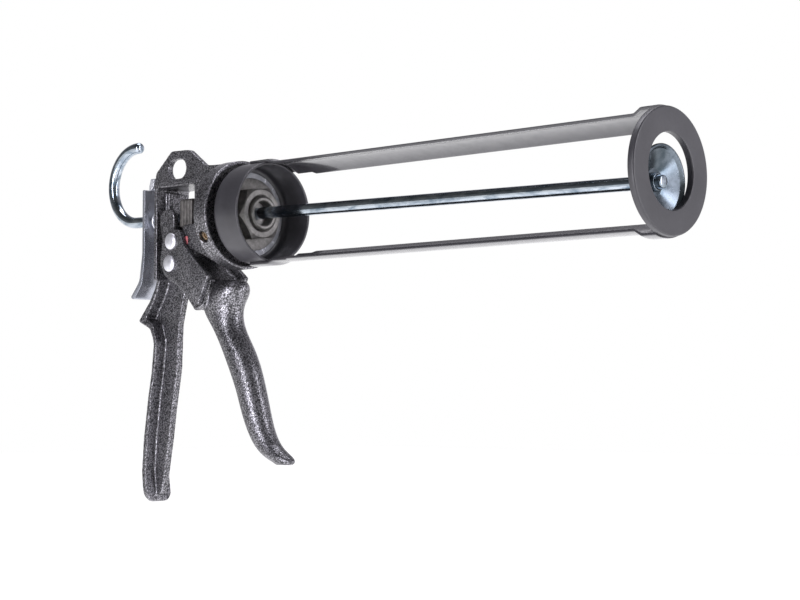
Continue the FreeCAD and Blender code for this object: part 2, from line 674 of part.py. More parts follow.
def makeStopPad():
    """Soft pad that the trigger boss rests near."""
    return box("bump_stop", ("-61.2", "3.7"), ("-<bodyHalfWidth> + 0.1", "2.3"), ("-14.9", "4.8"))


def checkAll(parts):
    doc.recompute()
    for thing in doc.Objects:
        if "Invalid" in thing.State or "Error" in thing.State:
            raise RuntimeError("%s did not build" % thing.Label)
    for thing in parts:
        shape = thing.Shape
        if shape.isNull() or not shape.isValid() or shape.Volume <= 0:
            raise RuntimeError("%s has no sound shape" % thing.Label)


def writeAll(parts):
    os.makedirs("parts", exist_ok=True)
    for thing in parts:
        thing.Shape.exportStep("parts/%s.step" % thing.Label)
        print(thing.Label, len(thing.Shape.Solids), round(thing.Shape.Volume, 1))


def main():
    fillSheet()
    parts = [makeCasting(), makeLockScrew(), makeNoseBush(), makeNut()]
    parts += [makeWasher("floor_washer", "23.3", "0.6", "0.1")]
    parts += [makeWasher("frame_washer", "20", "1.2", "0.7"), makeCup()]
    parts.append(makeStrap("strap_top", 90 - STRAP_FAR))
    parts.append(makeStrap("strap_bottom", -90 - STRAP_NEAR))
    parts.append(makeRing())
    parts += [makeRod(), makePlungerDisc(), makePlungerCollar(), makePlungerBacker()]
    pitch = size("plateThickness") + PLATE_PLAY
    for number in range(PLATE_COUNT):
        rear = "%f + %d * (<plateThickness> + %f)" % (PLATE_STACK_REAR, number, PLATE_PLAY)
        parts.append(makeDrivePlate("drive_plate_%d" % (number + 1), rear))
    stackFront = PLATE_STACK_REAR + PLATE_COUNT * pitch
    parts.append(helixSpring("drive_spring", 5.4, -38.6 - stackFront - 1.4, stackFront + 1.0, 6))
    parts += [makeReleasePlate(), makeReleaseClip()]
    parts.append(helixSpring("release_spring", 5.4, 8.6, RELEASE_FRONT + 1.0, 3.5))
    parts.append(makeTrigger())
    near, far, spacers = makeCheeks()
    parts += [near, far] + spacers
    parts += [makePivotRivet(), makeLowerRivet("near", -1), makeLowerRivet("far", 1)]
    parts.append(makeStopPad())
    checkAll(parts)
    writeAll(parts)


main()
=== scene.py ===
import bmesh
import bpy
import math
from mathutils import Matrix, Vector


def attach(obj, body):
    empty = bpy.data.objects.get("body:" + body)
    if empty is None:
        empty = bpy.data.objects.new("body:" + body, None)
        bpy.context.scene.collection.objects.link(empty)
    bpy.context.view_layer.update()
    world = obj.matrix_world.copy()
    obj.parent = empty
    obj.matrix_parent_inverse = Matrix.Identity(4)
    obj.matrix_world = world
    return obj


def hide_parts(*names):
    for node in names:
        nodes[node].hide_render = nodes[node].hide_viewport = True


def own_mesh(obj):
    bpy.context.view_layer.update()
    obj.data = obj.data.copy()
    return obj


# Caulking gun: hammered casting and trigger, satin black cartridge frame, bright push rod.
# Metres, +X to the muzzle, +Z up, the side the cartridge goes in from is -Y.

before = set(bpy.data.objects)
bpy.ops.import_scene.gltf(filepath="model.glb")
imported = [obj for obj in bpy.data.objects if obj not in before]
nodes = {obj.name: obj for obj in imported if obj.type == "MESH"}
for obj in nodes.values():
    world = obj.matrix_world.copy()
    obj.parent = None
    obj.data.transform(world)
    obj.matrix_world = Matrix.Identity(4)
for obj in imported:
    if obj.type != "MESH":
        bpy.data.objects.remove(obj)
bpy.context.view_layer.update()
scene = bpy.context.scene
mm = 0.001
droopAngle = math.radians(1.0)     # the push rod and all on it tip down to the muzzle
print("frame loaded:", len(nodes), "nodes")


# helpers for node materials

def newMaterial(name, **values):
    material = bpy.data.materials.new(name)
    material.use_nodes = True
    shader = material.node_tree.nodes["Principled BSDF"]
    for socket, value in values.items():
        shader.inputs[socket.replace("_", " ")].default_value = value
    return material, material.node_tree, shader


def addNode(tree, kind, **settings):
    node = tree.nodes.new(kind)
    for key, value in settings.items():
        if key in node.inputs:
            node.inputs[key].default_value = value
        else:
            setattr(node, key, value)
    return node


def coordinates(tree, stretch=(1, 1, 1), turn=(0, 0, 0)):
    where = addNode(tree, "ShaderNodeTexCoord")
    mapping = addNode(tree, "ShaderNodeMapping", Scale=stretch, Rotation=turn)
    tree.links.new(where.outputs["Object"], mapping.inputs["Vector"])
    return mapping.outputs["Vector"]


def noise(tree, vector, scale, detail=3.0, rough=0.55, distortion=0.0):
    node = addNode(tree, "ShaderNodeTexNoise", Scale=scale, Detail=detail, Roughness=rough,
                   Distortion=distortion)
    tree.links.new(vector, node.inputs["Vector"])
    return node.outputs["Fac"]


def cells(tree, vector, scale, feature="F1", randomness=1.0):
    node = addNode(tree, "ShaderNodeTexVoronoi", feature=feature, Scale=scale,
                   Randomness=randomness)
    tree.links.new(vector, node.inputs["Vector"])
    return node.outputs["Distance"]


def ramp(tree, factor, stops):
    node = addNode(tree, "ShaderNodeValToRGB")
    band = node.color_ramp
    while len(band.elements) < len(stops):
        band.elements.new(0.5)
    for element, (place, colour) in zip(band.elements, stops):
        element.position = place
        element.color = (*colour, 1) if len(colour) == 3 else colour
    tree.links.new(factor, node.inputs["Fac"])
    return node.outputs["Color"]


def grey(value):
    return (value, value, value)


def span(tree, factor, low, high, fromLow=0.0, fromHigh=1.0):
    node = addNode(tree, "ShaderNodeMapRange")
    node.inputs["From Min"].default_value = fromLow
    node.inputs["From Max"].default_value = fromHigh
    node.inputs["To Min"].default_value = low
    node.inputs["To Max"].default_value = high
    tree.links.new(factor, node.inputs["Value"])
    return node.outputs["Result"]


def blendColours(tree, factor, first, second, kind="MIX"):
    node = addNode(tree, "ShaderNodeMix", data_type="RGBA", blend_type=kind)
    for socket, value in (("Factor", factor), ("A", first), ("B", second)):
        target = [s for s in node.inputs if s.name == socket and s.enabled][0]
        if isinstance(value, (int, float)):
            target.default_value = value
        elif isinstance(value, tuple):
            target.default_value = (*value, 1)
        else:
            tree.links.new(value, target)
    return [s for s in node.outputs if s.enabled][0]


def bumpOn(tree, shader, height, strength, distance, after=None):
    bump = addNode(tree, "ShaderNodeBump", Strength=strength, Distance=distance)
    tree.links.new(height, bump.inputs["Height"])
    if after is not None:
        tree.links.new(after, bump.inputs["Normal"])
    tree.links.new(bump.outputs["Normal"], shader.inputs["Normal"])
    return bump.outputs["Normal"]


# finishes of this gun, one function each

def makeHammeredPaint():
    look = {"cell": 0.00085, "shadow": (0.030, 0.030, 0.032), "middle": (0.145, 0.142, 0.153),
            "fleck": (0.46, 0.45, 0.48), "relief": 0.00015, "warp": 0.0011}
    material, tree, shader = newMaterial("hammeredPaint", Metallic=0.85, Roughness=0.34,
                                         Coat_Weight=0.4, Coat_Roughness=0.10)
    vector = coordinates(tree)
    warp = noise(tree, vector, 900, 2.0)
    moved = addNode(tree, "ShaderNodeVectorMath", operation="MULTIPLY_ADD")
    tree.links.new(warp, moved.inputs[0])
    moved.inputs[1].default_value = (look["warp"], look["warp"], look["warp"])
    tree.links.new(vector, moved.inputs[2])
    domes = cells(tree, moved.outputs[0], 1 / look["cell"], "F1")
    fine = noise(tree, vector, 1700, 3.0, 0.6)
    mixed = blendColours(tree, 0.5, domes, fine)
    colour = ramp(tree, mixed, [(0.28, look["fleck"]), (0.47, look["middle"]),
                                (0.62, look["shadow"])])
    patch = span(tree, noise(tree, vector, 70, 4.0), 0.8, 1.2, 0.3, 0.7)
    shade = blendColours(tree, 1.0, colour, patch, "MULTIPLY")
    tree.links.new(shade, shader.inputs["Base Color"])
    tree.links.new(span(tree, mixed, 0.26, 0.48, 0.3, 0.6), shader.inputs["Roughness"])
    height = span(tree, mixed, 1.0, 0.0, 0.25, 0.65)
    bumpOn(tree, shader, height, 0.40, look["relief"])
    return material


def makeSatinBlack(name, coat, coatRoughness, texture):
    look = {"colour": (0.024, 0.023, 0.027), "worn": (0.036, 0.035, 0.040)}
    material, tree, shader = newMaterial(name, Roughness=0.36, Specular_IOR_Level=0.5,
                                         Coat_Weight=coat, Coat_Roughness=coatRoughness)
    vector = coordinates(tree)
    broad = noise(tree, vector, 45, 5.0, 0.6)
    colour = ramp(tree, broad, [(0.35, look["colour"]), (0.68, look["worn"])])
    tree.links.new(colour, shader.inputs["Base Color"])
    tree.links.new(span(tree, noise(tree, vector, 160, 4.0), 0.34, 0.46, 0.3, 0.7),
                   shader.inputs["Roughness"])
    orange = bumpOn(tree, shader, noise(tree, vector, 900, 2.0), texture, 0.0001)
    bumpOn(tree, shader, noise(tree, vector, 4200, 2.0), texture, 0.00004, orange)
    return material


def makeRawSteel():
    look = {"dark": (0.13, 0.125, 0.12), "light": (0.34, 0.33, 0.315)}
    material, tree, shader = newMaterial("rawSteel", Metallic=0.85, Roughness=0.45)
    vector = coordinates(tree)
    cloud = noise(tree, vector, 210, 6.0, 0.65)
    colour = ramp(tree, cloud, [(0.30, look["dark"]), (0.72, look["light"])])
    tree.links.new(colour, shader.inputs["Base Color"])
    tree.links.new(span(tree, noise(tree, vector, 700, 4.0), 0.36, 0.62, 0.3, 0.7),
                   shader.inputs["Roughness"])
    lines = noise(tree, coordinates(tree, (1, 5200, 260)), 1.0, 3.0)
    bumpOn(tree, shader, lines, 0.16, 0.00006)
    return material


def makeBrightBar():
    look = {"blue": (0.15, 0.20, 0.25), "bright": (0.50, 0.55, 0.60)}
    material, tree, shader = newMaterial("brightBar", Metallic=1.0, Roughness=0.10)
    vector = coordinates(tree)
    blotch = noise(tree, coordinates(tree, (90, 320, 320)), 1.0, 6.0, 0.62, 0.4)
    colour = ramp(tree, blotch, [(0.36, look["blue"]), (0.62, look["bright"])])
    tree.links.new(colour, shader.inputs["Base Color"])
    tree.links.new(span(tree, blotch, 0.06, 0.18, 0.7, 0.35), shader.inputs["Roughness"])
    drawn = noise(tree, coordinates(tree, (14, 2600, 2600)), 1.0, 2.0)
    pits = bumpOn(tree, shader, noise(tree, vector, 300, 3.0), 0.05, 0.00012)
    bumpOn(tree, shader, drawn, 0.04, 0.00004, pits)
    return material


def makeZincPlate():
    look = {"dark": (0.05, 0.068, 0.082), "bright": (0.19, 0.22, 0.25)}
    material, tree, shader = newMaterial("zincPlate", Metallic=1.0, Roughness=0.25)
    vector = coordinates(tree)
    cloud = noise(tree, vector, 120, 6.0, 0.6)
    colour = ramp(tree, cloud, [(0.30, look["dark"]), (0.70, look["bright"])])
    tree.links.new(colour, shader.inputs["Base Color"])
    tree.links.new(span(tree, cloud, 0.17, 0.32, 0.3, 0.7), shader.inputs["Roughness"])
    bumpOn(tree, shader, noise(tree, vector, 330, 4.0), 0.10, 0.00015)
    return material


def makeBrightZinc():
    look = {"dark": (0.55, 0.57, 0.61), "bright": (0.88, 0.88, 0.93)}
    material, tree, shader = newMaterial("brightZinc", Metallic=0.6, Roughness=0.25)
    vector = coordinates(tree)
    cloud = noise(tree, vector, 260, 5.0, 0.6)
    tree.links.new(ramp(tree, cloud, [(0.3, look["dark"]), (0.7, look["bright"])]),
                   shader.inputs["Base Color"])
    tree.links.new(span(tree, cloud, 0.14, 0.30, 0.3, 0.7), shader.inputs["Roughness"])
    bumpOn(tree, shader, noise(tree, vector, 800, 3.0), 0.10, 0.00006)
    return material


def makeReleaseZinc():
    look = {"dark": (0.28, 0.30, 0.34), "bright": (0.56, 0.57, 0.62)}
    material, tree, shader = newMaterial("releaseZinc", Metallic=0.8, Roughness=0.3)
    vector = coordinates(tree)
    cloud = noise(tree, coordinates(tree, (60, 60, 20)), 1.0, 6.0, 0.6)
    tree.links.new(ramp(tree, cloud, [(0.3, look["dark"]), (0.7, look["bright"])]),
                   shader.inputs["Base Color"])
    tree.links.new(span(tree, cloud, 0.18, 0.36, 0.3, 0.7), shader.inputs["Roughness"])
    bumpOn(tree, shader, noise(tree, vector, 900, 3.0), 0.10, 0.00005)
    return material


def makePlateSteel():
    look = {"dark": (0.055, 0.052, 0.05), "light": (0.20, 0.19, 0.18)}
    material, tree, shader = newMaterial("plateSteel", Metallic=0.7, Roughness=0.5)
    vector = coordinates(tree)
    cloud = noise(tree, vector, 330, 6.0, 0.7)
    tree.links.new(ramp(tree, cloud, [(0.32, look["dark"]), (0.7, look["light"])]),
                   shader.inputs["Base Color"])
    tree.links.new(span(tree, cloud, 0.40, 0.65, 0.3, 0.7), shader.inputs["Roughness"])
    bumpOn(tree, shader, noise(tree, vector, 1300, 3.0), 0.2, 0.00008)
    return material


def makeRivetMetal():
    look = {"dark": (0.58, 0.58, 0.62), "bright": (0.88, 0.88, 0.92)}
    material, tree, shader = newMaterial("rivetMetal", Metallic=0.85, Roughness=0.4)
    vector = coordinates(tree)
    cloud = noise(tree, vector, 320, 5.0)
    colour = ramp(tree, cloud, [(0.3, look["dark"]), (0.7, look["bright"])])
    tree.links.new(colour, shader.inputs["Base Color"])
    tree.links.new(span(tree, cloud, 0.34, 0.46, 0.3, 0.7), shader.inputs["Roughness"])
    bumpOn(tree, shader, noise(tree, vector, 900, 3.0), 0.12, 0.00006)
    return material


def makeOldBrass():
    look = {"dark": (0.05, 0.035, 0.025), "bright": (0.42, 0.31, 0.20)}
    material, tree, shader = newMaterial("oldBrass", Metallic=1.0, Roughness=0.34)
    vector = coordinates(tree)
    cloud = noise(tree, vector, 900, 4.0)
    colour = ramp(tree, cloud, [(0.38, look["dark"]), (0.62, look["bright"])])
    tree.links.new(colour, shader.inputs["Base Color"])
    tree.links.new(span(tree, cloud, 0.5, 0.24, 0.3, 0.7), shader.inputs["Roughness"])
    bumpOn(tree, shader, cloud, 0.2, 0.00008)
    return material


def makeSoftPad():
    look = {"dark": (0.30, 0.055, 0.065), "bright": (0.60, 0.17, 0.19)}
    material, tree, shader = newMaterial("softPad", Roughness=0.6)
    vector = coordinates(tree)
    cloud = noise(tree, vector, 800, 5.0)
    tree.links.new(ramp(tree, cloud, [(0.3, look["dark"]), (0.7, look["bright"])]),
                   shader.inputs["Base Color"])
    tree.links.new(span(tree, cloud, 0.5, 0.7, 0.3, 0.7), shader.inputs["Roughness"])
    bumpOn(tree, shader, cloud, 0.3, 0.0001)
    return material


hammeredPaint = makeHammeredPaint()
satinBlack = makeSatinBlack("satinBlack", 0.2, 0.25, 0.08)
strapBlack = makeSatinBlack("strapBlack", 1.0, 0.10, 0.015)
rawSteel = makeRawSteel()
brightBar = makeBrightBar()
zincPlate = makeZincPlate()
brightZinc = makeBrightZinc()
releaseZinc = makeReleaseZinc()
plateSteel = makePlateSteel()
rivetMetal = makeRivetMetal()
oldBrass = makeOldBrass()
softPad = makeSoftPad()
print("finishes made")


# helpers for shapes

def addPiece(name, bm, material, body, stands=(), sharp=32):
    bmesh.ops.remove_doubles(bm, verts=bm.verts, dist=1e-6)
    bmesh.ops.dissolve_degenerate(bm, edges=bm.edges, dist=1e-7)
    bmesh.ops.recalc_face_normals(bm, faces=bm.faces)
    mesh = bpy.data.meshes.new(name)
    bm.to_mesh(mesh)
    bm.free()
    return addMesh(name, mesh, material, body, stands, sharp)


def addMesh(name, mesh, material, body, stands=(), sharp=32):
    mesh.shade_smooth()
    if sharp:
        mesh.set_sharp_from_angle(angle=math.radians(sharp))
    mesh.materials.clear()
    mesh.materials.append(material)
    piece = bpy.data.objects.new(name, mesh)
    scene.collection.objects.link(piece)
    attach(piece, body)
    if stands:
        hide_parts(*stands)
    return piece


def softCorners(corners, steps=5):     # closed outline from (x, y, corner radius)
    points = []
    count = len(corners)
    for number, (x, y, radius) in enumerate(corners):
        here = Vector((x, y))
        before = (Vector(corners[number - 1][:2]) - here)
        after = (Vector(corners[(number + 1) % count][:2]) - here)
        angle = before.angle(after)
        if radius <= 0 or angle > math.radians(179):
            points.append(here)
            continue
        back = radius / math.tan(angle / 2)
        start = here + before.normalized() * back
        end = here + after.normalized() * back
        middle = (before.normalized() + after.normalized()).normalized()
        centre = here + middle * (radius / math.sin(angle / 2))
        first, last = start - centre, end - centre
        turn = first.angle_signed(last)
        for step in range(steps + 1):
            arm = first.copy()
            arm.rotate(Matrix.Rotation(-turn * step / steps, 2))
            points.append(centre + arm)
    return points


def tip(bm):      # the push rod's own slope
    turn = Matrix.Rotation(droopAngle, 4, "Y")
    bmesh.ops.transform(bm, matrix=turn, verts=bm.verts)
    return bm


def turned(corners, segments=96, steps=4):     # section (x, radius, corner radius) in mm, about X
    bm = bmesh.new()
    outline = softCorners(corners, steps)
    rings = []
    for x, radius in outline:
        ring = []
        for number in range(segments):
            angle = math.tau * number / segments
            ring.append(bm.verts.new((x * mm, radius * math.cos(angle) * mm,
                                      radius * math.sin(angle) * mm)))
        rings.append(ring)
    for number in range(len(rings)):
        first, second = rings[number - 1], rings[number]
        for side in range(segments):
            following = (side + 1) % segments
            bm.faces.new((first[side], first[following], second[following], second[side]))
    return bm


def swept(points, radius, sides=24, bm=None):      # round bar along points in mm
    bm = bm or bmesh.new()
    path = [Vector(p) for p in points]
    across = Vector((0, 1, 0))
    rings = []
    for number, here in enumerate(path):
        before = path[max(number - 1, 0)]
        after = path[min(number + 1, len(path) - 1)]
        along = (after - before).normalized()
        across = (across - along * across.dot(along)).normalized()
        other = along.cross(across)
        size = radius[number] if isinstance(radius, list) else radius
        ring = []
        for side in range(sides):
            angle = math.tau * side / sides
            arm = across * math.cos(angle) + other * math.sin(angle)
            ring.append(bm.verts.new((here + arm * size) * mm))
        rings.append(ring)
    for first, second in zip(rings, rings[1:]):
        for side in range(sides):
            following = (side + 1) % sides
            bm.faces.new((first[side], first[following], second[following], second[side]))
    bm.faces.new(rings[0])
    bm.faces.new(rings[-1])
    return bm


def softFrom(name, source, material, body, radius, steps=3):
    # a CAD solid with every sharp edge rounded, radius in mm
    bm = bmesh.new()
    bm.from_mesh(nodes[source].data)
    bmesh.ops.remove_doubles(bm, verts=bm.verts, dist=2e-6)
    bmesh.ops.dissolve_limit(bm, angle_limit=math.radians(1), verts=bm.verts, edges=bm.edges)
    picked = [e for e in bm.edges if len(e.link_faces) == 2
              and e.calc_face_angle() > math.radians(40)]
    bmesh.ops.bevel(bm, geom=picked, offset=radius * mm, segments=steps, profile=0.5,
                    affect="EDGES", clamp_overlap=True)
    return addPiece(name, bm, material, body, (source,), 35)


def turnOnto(bm, direction, place):      # swing a turned shape from +X onto a direction, place in mm
    swing = Vector((1, 0, 0)).rotation_difference(Vector(direction)).to_matrix().to_4x4()
    move = Matrix.Translation(Vector(place) * mm)
    bmesh.ops.transform(bm, matrix=move @ swing, verts=bm.verts)
    return bm


def castFrom(name, source, material, body, look):
    # a CAD solid with the soft edges and the skin of a casting
    bm = bmesh.new()
    bm.from_mesh(nodes[source].data)
    bmesh.ops.remove_doubles(bm, verts=bm.verts, dist=2e-6)
    mesh = bpy.data.meshes.new(name + "Solid")
    bm.to_mesh(mesh)
    bm.free()
    draft = bpy.data.objects.new(name + "Draft", mesh)
    scene.collection.objects.link(draft)
    fine = draft.modifiers.new("cells", "REMESH")
    fine.mode = "VOXEL"
    fine.voxel_size = look["cell"] * mm
    soft = draft.modifiers.new("soft", "SMOOTH")
    soft.factor = 0.5
    soft.iterations = look["passes"]
    skin = bpy.data.textures.new(name + "Skin", "CLOUDS")
    skin.noise_scale = look["grain"]
    skin.noise_depth = 1
    hammer = draft.modifiers.new("hammer", "DISPLACE")
    hammer.texture = skin
    hammer.texture_coords = "LOCAL"
    hammer.strength = look["relief"] * mm
    hammer.mid_level = 0.75        # mostly inwards, so the casting stays in its own size
    ready = draft.evaluated_get(bpy.context.evaluated_depsgraph_get())
    made = bpy.data.meshes.new_from_object(ready)
    made.name = name
    bpy.data.objects.remove(draft)
    return addMesh(name, made, material, body, (source,), 0)


# casting, trigger and side plates, all in hammered paint

castLook = {"cell": 0.42, "passes": 3, "relief": 0.02, "grain": 0.0016, "plateEdge": 0.6}
for node, body in (("body_casting", "body"), ("trigger_grip", "trigger")):
    castFrom("hammered_" + node, node, hammeredPaint, body, castLook)
for side in ("near", "far"):
    softFrom("side_plate_" + side, "cheek_" + side, hammeredPaint, "trigger",
             castLook["plateEdge"])
print("hammered castings made")


# cartridge cup, straps and nozzle ring

cupLook = {"radius": 27.5, "wall": 1.5, "length": 20.0, "hole": 10.06, "lip": 0.6,
           "bottomRound": 4.0, "insideRound": 2.6, "groove": (4.4, 6.8), "grooveDeep": 0.5}


def makeCup():
    r, wall, length = cupLook["radius"], cupLook["wall"], cupLook["length"]
    outer, inner = cupLook["groove"]       # pressed ring in the floor, from the outside edge
    sunk = cupLook["grooveDeep"] - length
    bm = turned([
        (-length, cupLook["hole"], 0), (-length, r - inner - 0.2, 0.8), (sunk, r - inner + 0.4, 0.8),
        (sunk, r - outer - 0.2, 0.8), (-length, r - outer + 0.2, 0.6),
        (-length, r, cupLook["bottomRound"]), (0, r, cupLook["lip"]), (0, r - wall, cupLook["lip"]),
        (wall - length, r - wall, cupLook["insideRound"]), (wall - length, cupLook["hole"], 0)],
        160, 8)
    return addPiece("cartridge_cup", bm, satinBlack, "cartridge_frame", ("cup",))


strapLook = {"near": 15.0, "far": 36.5, "neckTrim": 3.5, "edge": 0.35, "stations": [
    # x, inner radius, trim of each edge in degrees
    (-14.0, 27.52, 5.5), (-13.4, 27.52, 4.2), (-12.4, 27.52, 3.5), (1.0, 27.52, 3.5),
    (2.0, 27.2, 3.5), (4.0, 26.3, 3.5), (5.0, 26.0, 3.5), (15.4, 26.0, 3.5), (17.4, 26.0, 0.0),
    (80.0, 26.0, 0.0), (160.0, 26.0, 0.0), (241.5, 26.0, 0.0), (242.6, 26.15, 0.0),
    (246.4, 28.35, 0.0), (247.4, 28.48, 0.0), (254.5, 28.48, 0.0)]}


def makeStrap(name, source, firstAngle):
    look = strapLook
    wide = look["near"] + look["far"]
    wall, edge = cupLook["wall"], look["edge"]
    bm = bmesh.new()
    loops = []
    for x, inner, trim in look["stations"]:
        start, stop = math.radians(firstAngle + trim), math.radians(firstAngle + wide - trim)
        outer = inner + wall
        ends = []          # quarter rounds at the four corners of the section
        for corner, (angle, radius, turnA, turnR) in enumerate((
                (start, outer, 1, -1), (stop, outer, -1, -1), (stop, inner, -1, 1),
                (start, inner, 1, 1))):
            for step in range(4):
                part = math.pi / 2 * step / 3
                a, b = math.sin(part), math.cos(part)
                if corner % 2:
                    a, b = b, a
                across = turnA * edge * (1 - b) / radius
                along = turnR * edge * (1 - a)
                ends.append((angle + across, radius + along))
        section = []
        for number, (angle, radius) in enumerate(ends):
            section.append((angle, radius))
            following = ends[(number + 1) % len(ends)]
            if number % 4 == 3 and abs(following[0] - angle) > 0.2:
                for step in range(1, 24):
                    part = step / 24
                    section.append((angle + (following[0] - angle) * part, radius))
        loops.append([bm.verts.new((x * mm, radius * math.cos(angle) * mm,
                                    radius * math.sin(angle) * mm)) for angle, radius in section])
    for first, second in zip(loops, loops[1:]):
        for side in range(len(first)):
            following = (side + 1) % len(first)
            bm.faces.new((first[side], first[following], second[following], second[side]))
    for ending in (loops[0], loops[-1]):
        bm.faces.new(ending)
    return addPiece(name, bm, strapBlack, "cartridge_frame", (source,), 40)


ringLook = {"rear": 254.6, "front": 258.0, "radius": 29.3, "hole": 17.6, "edge": 0.9}


def makeRing():
    look = ringLook
    bm = turned([
        (look["rear"], look["hole"], 0.3), (look["rear"], look["radius"], 0.5),
        (look["front"], look["radius"], look["edge"]), (look["front"], look["hole"], 0.6)],
        180, 6)
    return addPiece("nozzle_ring", bm, satinBlack, "cartridge_frame",
                    ("front_ring",))


makeCup()
makeStrap("strap_upper", "strap_top", 90 - strapLook["far"])
makeStrap("strap_lower", "strap_bottom", -90 - strapLook["near"])
makeRing()
print("cartridge frame made")


# nose, nut and washers inside the cup

noseLook = {"front": -7.3, "rear": -38.1, "radius": 9.2, "bore": 6.75, "thread": 0.45,
            "pitch": 1.5}


def makeNose():
    look = noseLook
    corners = [(look["rear"], 3.31, 0.2), (look["rear"], 10.0, 0.4), (-18.1, 10.0, 0.3),
               (-18.1, look["radius"], 0)]
    x = -16.0
    while x < look["front"] - 1.4:
        corners += [(x, look["radius"] - look["thread"], 0.15),
                    (x + look["pitch"] / 2, look["radius"], 0.1)]
        x += look["pitch"]
    corners += [(look["front"] - 0.7, look["radius"] - 0.1, 0.2),
                (look["front"], look["radius"] - 0.8, 0.3), (look["front"], look["bore"] + 0.5, 0.3),
                (look["front"] - 0.6, look["bore"], 0.2), (-13.9, look["bore"], 0.2),
                (-14.0, 3.31, 0.1)]
    return addPiece("threaded_nose", turned(corners, 96, 3), rawSteel, "body",
                    ("nose_bush",))


nutLook = {"rear": -16.6, "high": 7.5, "half": 13.5, "hole": 9.25, "turn": 7.0,
           "flatShare": 0.96, "chamfer": 28.0}       # round flat on top, slope of its corners


def makeNut():
    look = nutLook
    bm = bmesh.new()
    front = look["rear"] + look["high"]
    flat = look["half"] * look["flatShare"]
    slope = math.tan(math.radians(look["chamfer"]))
    rings = []
    for number in range(96):
        angle = math.tau * number / 96
        reach = look["half"] / math.cos((angle + math.pi / 6) % (math.pi / 3) - math.pi / 6)
        drop = (reach - flat) * slope
        where = angle + math.radians(look["turn"] + 90)
        ring = []
        for x, radius in ((look["rear"], look["hole"]), (look["rear"], reach - 0.3),
                          (look["rear"] + 0.3, reach), (front - drop - 0.15, reach),
                          (front - drop + 0.05, reach - 0.3), (front - 0.05, flat + 0.15),
                          (front, flat - 0.2), (front, look["hole"] + 1.2),
                          (front - 0.2, look["hole"] + 0.95), (front - 1.1, look["hole"])):
            ring.append(bm.verts.new((x * mm, radius * math.cos(where) * mm,
                                      radius * math.sin(where) * mm)))
        rings.append(ring)
    for number in range(len(rings)):
        first, second = rings[number - 1], rings[number]
        for side in range(len(first)):
            following = (side + 1) % len(first)
            bm.faces.new((first[side], first[following], second[following], second[side]))
    return addPiece("flat_nut", bm, rawSteel, "body", ("hex_nut",), 22)


washerLook = {"bore": 10.02, "raw": (-17.8, -16.6, 20.0), "bright": (-18.4, -17.8, 23.2)}


def makeWasher(name, source, size, edges, material):      # edges: rear and front rounding
    rear, front, radius = size
    bm = turned([(rear, washerLook["bore"], 0.1), (rear, radius, edges[0]),
                 (front, radius, edges[1]), (front, washerLook["bore"], 0.1)], 120)
    return addPiece(name, bm, material, "body", (source,))


makeNose()
makeNut()
makeWasher("nut_washer", "frame_washer", washerLook["raw"], (0.3, 0.4), rawSteel)
makeWasher("bright_washer", "floor_washer", washerLook["bright"], (0.1, 0.25), brightZinc)
print("nose, nut and washer made")


# push rod and plunger

rodLook = {"radius": 3.21, "front": 254.05, "rear": -117.0, "hook": 22.0, "tipReach": 3.0}


def makeRod():
    look = rodLook
    r = look["radius"]
    points, sizes = [], []
    for x, size in ((look["front"], r - 0.7), (look["front"] - 0.25, r - 0.25),
                    (look["front"] - 0.9, r)):
        points.append((x, 0, 0))
        sizes.append(size)
    for step in range(1, 40):
        x = look["front"] - 1 + (look["rear"] - look["front"] + 1) * step / 40
        points.append((x, 0, 0))
        sizes.append(r)
    for step in range(0, 49):
        angle = math.pi * step / 48
        points.append((look["rear"] - look["hook"] * math.sin(angle), 0,
                       look["hook"] * (1 - math.cos(angle))))
        sizes.append(r)
    ends = look["rear"] + look["tipReach"]
    for step in range(1, 7):
        part = math.pi / 2 * step / 6
        points.append((ends - 2.2 + 2.2 * math.sin(part), 0, 2 * look["hook"]))
        sizes.append(r - 2.2 + 2.2 * math.cos(part))
    bm = tip(swept(points, sizes, 36))
    return addPiece("push_rod", bm, brightBar, "push_rod", ("rod",), 50)


plungerLook = {"rim": 254.0, "radius": 17.2}


def makePlunger():
    rim, r = plungerLook["rim"], plungerLook["radius"]
    bm = turned([
        (rim - 7.2, 3.55, 0.1), (rim - 7.2, 6.5, 2), (rim - 2.4, r - 1.4, 2), (rim - 1.5, r, 0.5),
        (rim, r, 0.45), (rim - 0.1, r - 1.1, 0.4), (rim - 1.4, r - 2.2, 1.2), (rim - 5.4, 6.2, 2),
        (rim - 5.4, 3.55, 0.1)], 120, 6)
    addPiece("plunger_plate", tip(bm), zincPlate, "plunger", ("plunger_disc",))
    bm = turned([(rim - 5.3, 3.31, 0.1), (rim - 5.3, 4.35, 0.2), (rim - 2.9, 4.35, 0.5),
                 (rim - 2.9, 3.31, 0.3)], 48)
    addPiece("plunger_front_collar", tip(bm), zincPlate, "push_rod", ("plunger_collar",))
    bm = turned([(rim - 13.5, 3.31, 0.1), (rim - 13.5, 5.5, 0.7), (rim - 8.9, 5.5, 0.4),
                 (rim - 8.9, 9.0, 0.4), (rim - 7.3, 9.0, 0.4), (rim - 7.3, 3.31, 0.1)], 72)
    addPiece("plunger_rear_hub", tip(bm), zincPlate, "push_rod", ("plunger_backer",))


makeRod()
makePlunger()
print("push rod and plunger made")


# drive plates and their spring

clutchLook = {"plates": 4, "edge": 0.45, "springFrom": -56.5, "springTo": -39.1, "coil": 5.4,
              "wire": 0.7, "turns": 6.0, "anchor": -0.0385, "travel": 4.8}


